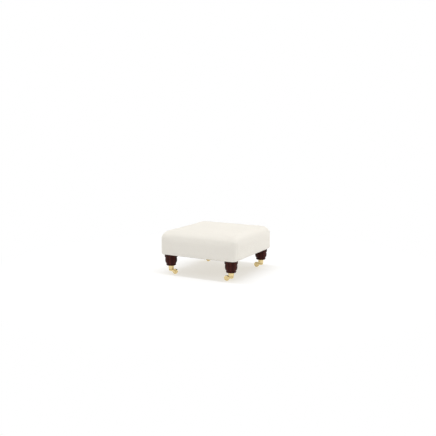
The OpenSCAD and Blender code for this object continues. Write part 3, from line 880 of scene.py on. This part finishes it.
def unfolded(distance, half, z, under):
    # how far along the cloth a point lies from the middle of the top
    radius = stool["edgeRadius"]
    flat = half - radius
    angle = np.arctan2(np.maximum(distance - flat, 0), np.maximum(z - (edgeZ - radius), 1e-6))
    roundPart = flat + radius * angle
    sidePart = flat + radius * math.pi / 2 + np.maximum(edgeZ - radius - z, 0)
    length = np.where(distance < flat, distance, np.where(z > edgeZ - radius, roundPart, sidePart))
    underPart = flat + radius * math.pi / 2 + edgeZ - radius - bottomZ + half - distance
    return np.where(under, underPart, length)


def layThreads(mesh):
    # thread coordinates in metres, as if the cloth were laid out flat
    layer = mesh.uv_layers.new(name="threads")
    corner = np.empty(len(mesh.loops), dtype=int)
    mesh.loops.foreach_get("vertex_index", corner)
    x, y, z = perVertex(mesh, "co")[corner].T
    counts = np.array([p.loop_total for p in mesh.polygons])
    centres = np.array([p.center for p in mesh.polygons])
    upright = np.array([p.normal.z for p in mesh.polygons])
    owner = np.repeat(np.arange(len(counts)), counts)
    centre = centres[owner]
    under = (upright[owner] < -0.7) & (centre[:, 2] < bottomZ + stool["hemRadius"])
    frontOrBack = (halfX - np.abs(centre[:, 0])) > (halfY - np.abs(centre[:, 1]))
    u = np.where(frontOrBack, x, np.sign(x) * unfolded(np.abs(x), halfX, z, under))
    v = np.where(frontOrBack, np.sign(y) * unfolded(np.abs(y), halfY, z, under), y)
    layer.data.foreach_set("uv", np.stack([u, v], 1).astype(np.float32).ravel())


def makeCover():
    steps = {"arcSteps": 8, "sideSteps": 40, "edgeSteps": 12, "domeSteps": 30}
    inset = cover["startInset"]
    points, faces = paddedSolid(inset, hemRings(inset, steps), **steps)
    piece = meshPiece("pulledOverCover", points, faces, finishes["cream"], body=None)
    remesh = piece.modifiers.new("even", "REMESH")
    remesh.mode = "VOXEL"
    remesh.voxel_size = cover["voxel"]
    applyModifiers(piece)
    swellCloth(piece)
    relax = piece.modifiers.new("relax", "SMOOTH")
    relax.factor, relax.iterations = cover["relax"]
    finer = piece.modifiers.new("finer", "SUBSURF")
    finer.levels = 1
    finer.render_levels = 1
    mesh = applyModifiers(piece)
    refineCorners(mesh)
    shapeCover(mesh)
    openUnderside(mesh)
    mesh = thicken(piece, stool["fabric"], -1)
    layThreads(mesh)
    mesh.materials.clear()
    mesh.materials.append(finishes["cream"])
    mesh.shade_smooth()
    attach(piece, "stool")
    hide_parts("cover")
    return piece


coverPiece = makeCover()
print("cover made,", len(coverPiece.data.polygons), "faces")


# wadding and foam, which follow the cover's own bumps

layers = {"arcSteps": 6, "sideSteps": 18, "edgeSteps": 8, "domeSteps": 14}
layerShape = {
    "ringDrop": 0.010,      # metres from ring to ring down the sides
    "leastDrop": 0.3,       # share of that from the lowest ring to the next
    "foldReach": 0.020,     # metres each side of a corner fold where a layer stands back
    "castFrom": 0.012,      # metres inside the plain shape from where the cover is looked for
    "castReach": 0.03,
}
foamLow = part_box("foam")[0].z


def layerRings(inset, lowZ):
    rings, middle = upperRings(inset, **layers)
    edge = edgeZ - stool["edgeRadius"]
    drop = layerShape["ringDrop"]
    count = int((edge - lowZ) / drop - layerShape["leastDrop"])
    heights = [lowZ] + [edge - drop * k for k in range(count, 0, -1)]
    sides = [
        roundedRing(
            halfX - inset, halfY - inset, stool["cornerRadius"] - inset, z, 0,
            layers["arcSteps"], layers["sideSteps"],
        )
        for z in heights
    ]
    return sides + rings, middle


def foldRoom(place):
    # how far the layers stand back behind a corner fold
    past = pastFold(place.x, place.y) / layerShape["foldReach"]
    return runOut(place.z) * cover["foldDepth"] * math.exp(-past ** 2)


def coverSwell(lowZ):
    # how far the cover's inner side stands from its plain shape, at each point of a layer
    back = layerShape["castFrom"]
    rings, middle = layerRings(stool["fabric"], lowZ)
    points, faces = skinRings(rings)
    capEnd(points, faces, len(rings) - 1, len(rings[0]), middle, True)
    mesh = bpy.data.meshes.new("plainShape")
    mesh.from_pydata(points, [], faces)
    surface = BVHTree.FromObject(coverPiece, bpy.context.evaluated_depsgraph_get())
    swell = []
    for i, vertex in enumerate(mesh.vertices):
        normal = vertex.normal.copy()
        if i < len(rings[0]):
            normal.z = 0
        start = vertex.co - normal * back
        found, _, _, distance = surface.ray_cast(start, normal, layerShape["castReach"])
        swell.append((normal, (distance - back if found else 0.0) - foldRoom(vertex.co)))
    bpy.data.meshes.remove(mesh)
    return swell


def followCover(rings, middle, swell, wooden=False):
    # beside the wooden rails the inner side of the wadding can't be pressed in
    size = len(rings[0])
    followed = []
    for k, ring in enumerate(rings + [[middle]]):
        lowest = 0.0 if wooden and ring[0][2] < foamLow else -1.0
        moves = swell[k * size:(k + 1) * size]
        followed.append([tuple(Vector(p) + n * max(d, lowest)) for p, (n, d) in zip(ring, moves)])
    return followed[:-1], followed[-1][0]


def makeLayer(name, node, outer, inner=None):
    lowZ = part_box(node)[0].z
    swell = coverSwell(lowZ)
    rings, middle = followCover(*layerRings(outer, lowZ), swell)
    lowMiddle = (0, 0, lowZ)
    if inner is not None:
        under, lowMiddle = followCover(*layerRings(inner, lowZ), swell, wooden=True)
        rings = under[::-1] + rings
    points, faces = skinRings(rings)
    size = len(rings[0])
    capEnd(points, faces, len(rings) - 1, size, middle, True)
    capEnd(points, faces, 0, size, lowMiddle, False)
    piece = meshPiece(name, points, faces, finishes[node])
    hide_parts(node)


waddingOuter = stool["fabric"] + stool["airGap"]
waddingInner = waddingOuter + stool["wadding"]
makeLayer("waddingLayer", "wadding", waddingOuter, waddingInner)
makeLayer("foamBlock", "foam", waddingInner + stool["airGap"])
print("wadding and foam made")


# the black cloth that closes the underside

bottoming = {
    "cells": 96,        # along each side
    "thickness": 0.0004,
    "cornerRadius": 0.012,
    "sag": 0.0025,      # metres at the middle
    "flatEdge": 0.024,  # metres of edge that don't sag
    "legRoom": 0.06,    # metres from a leg's collar over which the cloth comes free
    "pucker": 0.0003,
    "puckerReach": 0.03,
    "staplePitch": 0.042,
}


def bottomingPoint(x, y, low, high):
    radius, flat = bottoming["cornerRadius"], bottoming["flatEdge"]
    overX, overY = abs(x) - (high.x - radius), abs(y) - (high.y - radius)
    if overX > 0 and overY > 0:     # round the four corners
        reach = max(overX, overY) / math.hypot(overX, overY)
        x -= math.copysign(overX * (1 - reach), x)
        y -= math.copysign(overY * (1 - reach), y)
    collar = (legHigh.x - legLow.x) / 2
    fromLeg = math.hypot(abs(x) - legX, abs(y) - legY) - collar
    clear = min(1, max(0, fromLeg / bottoming["legRoom"]))
    freeX = max(0, 1 - (x / (high.x - flat)) ** 2)
    freeY = max(0, 1 - (y / (high.y - flat)) ** 2)
    sag = bottoming["sag"] * freeX * freeY * (3 - 2 * clear) * clear ** 2
    edgeX, edgeY = high.x - abs(x), high.y - abs(y)
    along = x if edgeX > edgeY else y
    wave = math.cos(2 * math.pi * along / bottoming["staplePitch"])
    fading = math.exp(-min(edgeX, edgeY) / bottoming["puckerReach"])
    ripple = bottoming["pucker"] * (1 - wave) * fading * clear
    return x, y, low.z + bottoming["thickness"] - sag - ripple / 2


def makeBottomingCloth():
    low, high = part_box("dust_cover")
    width, depth = high.x - low.x, high.y - low.y
    cells = bottoming["cells"]
    points, faces = [], []
    for row in range(cells + 1):
        for column in range(cells + 1):
            x, y = low.x + width * column / cells, low.y + depth * row / cells
            points.append(bottomingPoint(x, y, low, high))
    for row in range(cells):
        for column in range(cells):
            a = row * (cells + 1) + column
            faces.append((a, a + cells + 1, a + cells + 2, a + 1))
    piece = meshPiece("bottomingCloth", points, faces, finishes["bottoming"], body=None)
    thicken(piece, bottoming["thickness"], 1).shade_smooth()
    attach(piece, "stool")
    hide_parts("dust_cover")


makeBottomingCloth()
print("bottoming cloth made")


# stitches that close the corner folds

stitches = {
    "pitch": 0.0085,    # metres from stitch to stitch
    "length": 0.0042,
    "thickness": 0.00045,
    "slant": 0.0016,    # metres that a stitch climbs
    "sunk": 0.55,       # share of the thickness by which its ends go into the cloth
    "thinEnd": 0.55,    # share of the thickness that is left there
    "lowest": 0.155,
    "belowTop": 0.022,  # metres of the fold's top that are left open
    "sides": 6,
    "steps": 6,
}


def addTube(points, faces, path, radii, sides):
    start = len(points)
    for i, place in enumerate(path):
        before, after = path[max(i - 1, 0)], path[min(i + 1, len(path) - 1)]
        along = (after - before).normalized()
        side = along.cross(Vector((0.3, 0.2, 1))).normalized()
        up = along.cross(side)
        for k in range(sides):
            a = 2 * math.pi * k / sides
            points.append(place + radii[i] * (math.cos(a) * side + math.sin(a) * up))
    for i in range(len(path) - 1):
        for k in range(sides):
            n = (k + 1) % sides
            a, b = start + i * sides, start + (i + 1) * sides
            faces.append((a + k, a + n, b + n, b + k))
    faces.append(tuple(start + k for k in reversed(range(sides))))
    faces.append(tuple(start + (len(path) - 1) * sides + k for k in range(sides)))


def makeCornerStitches():
    surface = BVHTree.FromObject(coverPiece, bpy.context.evaluated_depsgraph_get())
    points, faces = [], []
    for sx, sy in corners.values():
        z = stitches["lowest"]
        outward = Vector((sx, sy, 0)).normalized()
        sideways = Vector((-sx, sy, 0)).normalized()
        while z < cover["seamTop"] - stitches["belowTop"]:
            path, radii = [], []
            for i in range(stitches["steps"] + 1):
                t = i / stitches["steps"] - 0.5
                shift = sideways * (t * stitches["length"] - cover["foldPlace"])
                start = outward * 2 * halfX + shift + Vector((0, 0, z + t * stitches["slant"]))
                found, normal, _, _ = surface.ray_cast(start, -outward)
                full = 1 - (2 * abs(t)) ** 4
                path.append(found + normal * stitches["thickness"] * (full - stitches["sunk"]))
                share = stitches["thinEnd"] + (1 - stitches["thinEnd"]) * full
                radii.append(stitches["thickness"] / 2 * share)
            addTube(points, faces, path, radii, stitches["sides"])
            z += stitches["pitch"]
    piece = meshPiece("cornerStitches", points, faces, finishes["thread"])


makeCornerStitches()
print("corner stitches made")


# slotted brass screws in the castor cups

screw = {
    "headRadius": 0.0030,   # metres
    "headHeight": 0.0015,
    "neckRadius": 0.0015,
    "neckDepth": 0.0004,
    "slotWidth": 0.0008,
    "slotDepth": 0.0009,
    "turn": 37,             # degrees from one slot to the next, so that no two stand alike
    "segments": 28,
    "steps": 6,
}


def screwHead():
    # a raised head with its rim at z = 0 and a short neck below, still without its slot
    outline = [(screw["neckRadius"], -screw["neckDepth"]), (screw["headRadius"], 0.0)]
    for i in range(1, screw["steps"]):
        a = math.pi / 2 * i / screw["steps"]
        outline.append((screw["headRadius"] * math.cos(a), screw["headHeight"] * math.sin(a)))
    count = screw["segments"]
    angles = [2 * math.pi * k / count for k in range(count)]
    bm = bmesh.new()
    loops = [
        [bm.verts.new((radius * math.cos(a), radius * math.sin(a), z)) for a in angles]
        for radius, z in outline
    ]
    for lower, upper in zip(loops, loops[1:]):
        for k in range(count):
            n = (k + 1) % count
            bm.faces.new((lower[k], lower[n], upper[n], upper[k]))
    bm.faces.new(loops[-1])
    bm.faces.new(loops[0][::-1])
    return meshOf(bm, "head")


def makeCupScrews():
    low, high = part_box("cup_screws")
    height = (low.z + high.z) / 2
    headOut = high.y - legY - screw["headHeight"]
    head = addObject("head", screwHead())
    bm = bmesh.new()
    bmesh.ops.create_cube(bm, size=1)
    size = (screw["headRadius"] * 3, screw["slotWidth"], screw["slotDepth"] * 2)
    bmesh.ops.scale(bm, vec=size, verts=bm.verts)
    bmesh.ops.translate(bm, vec=(0, 0, screw["headHeight"]), verts=bm.verts)
    cutter = addObject("blade", meshOf(bm, "blade"))
    slotCut = head.modifiers.new("slot", "BOOLEAN")
    slotCut.object = cutter
    slotCut.solver = "EXACT"
    cutHead = applyModifiers(head)
    bm = bmesh.new()
    turn = 0
    for sx, sy in corners.values():
        for face in (-1, 1):
            turn += screw["turn"]
            part = cutHead.copy()
            place = Matrix.Translation((sx * legX, sy * legY + face * headOut, height))
            lean = Matrix.Rotation(-face * math.pi / 2, 4, "X")
            part.transform(place @ lean @ Matrix.Rotation(math.radians(turn), 4, "Z"))
            bm.from_mesh(part)
    bpy.data.objects.remove(head)
    bpy.data.objects.remove(cutter)
    piece = addObject("cupScrews", meshOf(bm, "cupScrews"))
    piece.data.materials.append(finishes["brass"])
    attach(piece, "stool")
    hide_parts("cup_screws")


makeCupScrews()
print("cup screws made")


# floor, world and lamps

studio = {
    "floorSize": 30.0,      # metres
    "floorColour": (0.93, 0.93, 0.93),
    "inShadow": (0.664, 0.626, 0.552),  # what the camera sees of the floor in full shadow
    "openFloor": 1.07,      # and how bright it is elsewhere, just past white
    "shadowReach": (0.9, 1.7),  # metres from the stool over which the floor fades to plain white
    "worldLight": (0.995, 0.30),    # at the horizon, and overhead
    "topPlace": (0.0, -0.65, 5.0),
    "topSize": (5.0, 0.4),  # narrow from front to back, for a crisp front edge to the shadow
    "topPower": 121.0,      # watts
    "sidePlace": (3.4, 4.8, 1.25),
    "sideSize": (3.4, 2.2),
    "sidePower": 63.0,
    "aim": (0, 0, 0.2),     # both lamps point here
}


def seenByCamera(tree):
    path = addNode(tree, "LightPath")
    seen = calc(tree, "MAXIMUM", path.outputs["Is Camera Ray"], path.outputs["Is Glossy Ray"])
    return calc(tree, "MAXIMUM", seen, path.outputs["Is Transmission Ray"])


def makeFloor():
    half = studio["floorSize"] / 2
    points = [(-half, -half, 0), (half, -half, 0), (half, half, 0), (-half, half, 0)]
    material, tree, shader = newMaterial("paleFloor")
    away = addNode(tree, "VectorMath", {0: framePlace(tree)}, operation="LENGTH").outputs["Value"]
    far = spread(tree, away, *studio["shadowReach"])
    glow = mixColour(tree, far, studio["inShadow"], (1.0, 1.0, 1.0))
    lit = mixColour(tree, far, tuple(studio["openFloor"] - x for x in studio["inShadow"]), (0.0, 0.0, 0.0))
    seen = seenByCamera(tree)
    feed(tree, shader.inputs["Base Color"], mixColour(tree, seen, studio["floorColour"], lit))
    feed(tree, shader.inputs["Emission Color"], glow)
    feed(tree, shader.inputs["Emission Strength"], seen)
    shader.inputs["Roughness"].default_value = 0.9
    shader.inputs["Specular IOR Level"].default_value = 0.0
    floor = meshPiece("floor", points, [(0, 1, 2, 3)], material, body=None)


def makeWorld():
    world = bpy.data.worlds.new("softRoom")
    world.use_nodes = True
    tree = world.node_tree
    sky = tree.nodes["Background"]
    sky.inputs["Color"].default_value = (1, 1, 1, 1)
    way = addNode(tree, "TexCoord").outputs["Generated"]
    height = addNode(tree, "SeparateXYZ", {"Vector": way}).outputs[2]
    light = spread(tree, height, 0, 1, *studio["worldLight"])
    feed(tree, sky.inputs["Strength"], spread(tree, seenByCamera(tree), 0, 1, light, 1.0))
    scene.world = world


def makeSoftbox(name, place, size, power):
    data = bpy.data.lights.new(name, "AREA")
    data.shape = "RECTANGLE"
    data.size, data.size_y = size
    data.energy = power
    lamp = addObject(name, data)
    lamp.location = place
    lamp.visible_camera = False
    lamp.rotation_mode = "QUATERNION"
    lamp.rotation_quaternion = (Vector(studio["aim"]) - Vector(place)).to_track_quat("-Z", "Y")


makeFloor()
makeWorld()
makeSoftbox("topSoftbox", studio["topPlace"], studio["topSize"], studio["topPower"])
makeSoftbox("sideSoftbox", studio["sidePlace"], studio["sideSize"], studio["sidePower"])
scene.view_settings.view_transform = "Standard"
print("studio lit")
